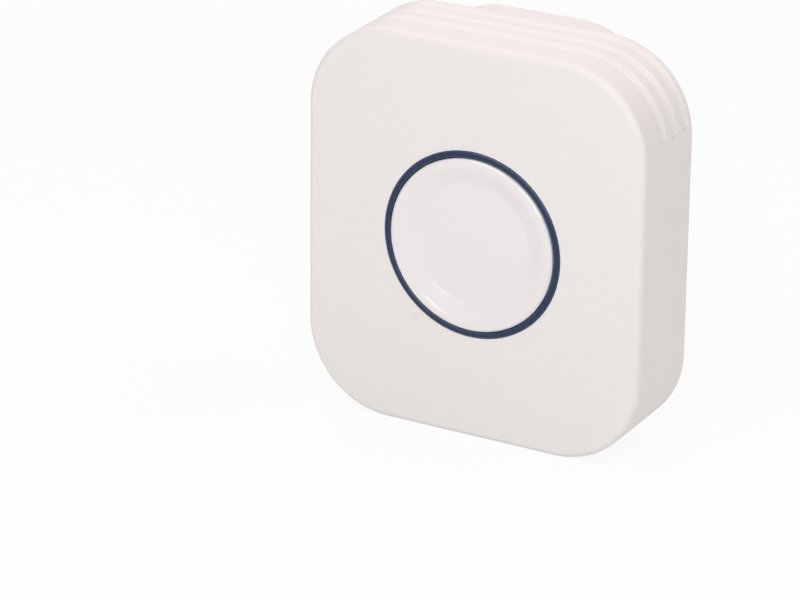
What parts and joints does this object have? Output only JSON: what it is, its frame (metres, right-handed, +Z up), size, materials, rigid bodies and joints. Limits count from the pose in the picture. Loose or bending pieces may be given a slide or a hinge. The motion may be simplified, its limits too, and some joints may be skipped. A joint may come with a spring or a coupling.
{
  "type": "plug-in doorbell chime",
  "caption": "Rounded white plug-in wireless doorbell chime with a blue light ring round a dished push disc, sound grooves over the top and a two-pin plug block behind.",
  "frame": {"origin": "midway between the two plug pins, in the plug's engagement face, where the pins leave it", "axes": "+X right as seen from the front, +Y back into the wall along the pins, +Z up"},
  "size_m": [0.0806, 0.0695, 0.0889],
  "materials": {
    "white_case": "fine matt moulded white ABS with a faint halo of dimples",
    "white_case_back": "fine matt moulded white ABS",
    "white_plug_case": "fine matt moulded white ABS",
    "gloss_white_disc": "polished white ABS",
    "blue_ring": "dark blue tinted translucent plastic, polished",
    "side_button": "satin white ABS",
    "pin_metal": "nickel-plated brass",
    "pin_sleeve": "white insulating sleeve",
    "insulator": "natural moulded insulator",
    "circuit_board": "green solder mask",
    "power_board": "brown laminate",
    "radio_board": "blue solder mask",
    "led": "clear resin with yellow phosphor",
    "chip": "black epoxy",
    "crystal_can": "drawn steel can",
    "switch_case": "black nylon",
    "switch_stem": "black nylon",
    "speaker_frame": "black plastic basket",
    "magnet": "plated magnet",
    "cone": "thin moulded film",
    "gasket": "closed-cell foam",
    "ferrite": "sintered ferrite",
    "coil_tape": "yellow winding tape",
    "capacitor_sleeve": "shrink sleeve",
    "resistor_body": "lacquered ceramic",
    "absorber_body": "blue epoxy coating",
    "wire_red": "PVC insulation",
    "wire_black": "PVC insulation",
    "wire_white": "PVC insulation",
    "screw_steel": "zinc-plated steel"
  },
  "bodies": {
    "housing": {"antenna_wire": "wire_white", "audio_chip": "chip", "board_screws": "screw_steel", "bridge_rectifier": "chip", "centre_switch": "switch_case", "controller_chip": "chip", "crystal": "crystal_can", "dc_wires": "wire_red", "front_cover": "white_case", "fuse_resistor": "resistor_body", "housing_screws": "screw_steel", "left_pin": "pin_metal", "left_pin_sleeve": "pin_sleeve", "light_ring": "blue_ring", "main_board": "circuit_board", "mains_capacitor": "capacitor_sleeve", "output_capacitor": "capacitor_sleeve", "pin_carrier": "insulator", "plug_block": "white_plug_case", "plug_block_screws": "screw_steel", "power_board": "power_board", "power_board_screws": "screw_steel", "radio_module": "radio_board", "rear_housing": "white_case_back", "right_pin": "pin_metal", "right_pin_sleeve": "pin_sleeve", "ring_leds": "led", "side_board": "circuit_board", "side_switches": "switch_case", "speaker_cone": "cone", "speaker_frame": "speaker_frame", "speaker_gasket": "gasket", "speaker_magnet": "magnet", "speaker_wires": "wire_black", "surge_absorber": "absorber_body", "transformer_coil": "coil_tape", "transformer_core": "ferrite"},
    "chime_button": {"chime_button": "gloss_white_disc", "centre_switch_stem": "switch_stem"},
    "volume_button": {"volume_button": "side_button", "volume_switch_stem": "switch_stem"},
    "melody_button": {"melody_button": "side_button", "melody_switch_stem": "switch_stem"}
  },
  "joints": [
    {"name": "chime_button_push", "type": "slide", "parent": "housing", "child": "chime_button", "axis": [0, 1, 0], "range_m": [0, 0.0006], "stiffness_N_per_m": 900, "springref_m": -0.0008},
    {"name": "volume_button_push", "type": "slide", "parent": "housing", "child": "volume_button", "axis": [1, 0, 0], "range_m": [0, 0.0005], "stiffness_N_per_m": 900, "springref_m": -0.0008},
    {"name": "melody_button_push", "type": "slide", "parent": "housing", "child": "melody_button", "axis": [1, 0, 0], "range_m": [0, 0.0005], "stiffness_N_per_m": 900, "springref_m": -0.0008}
  ]
}
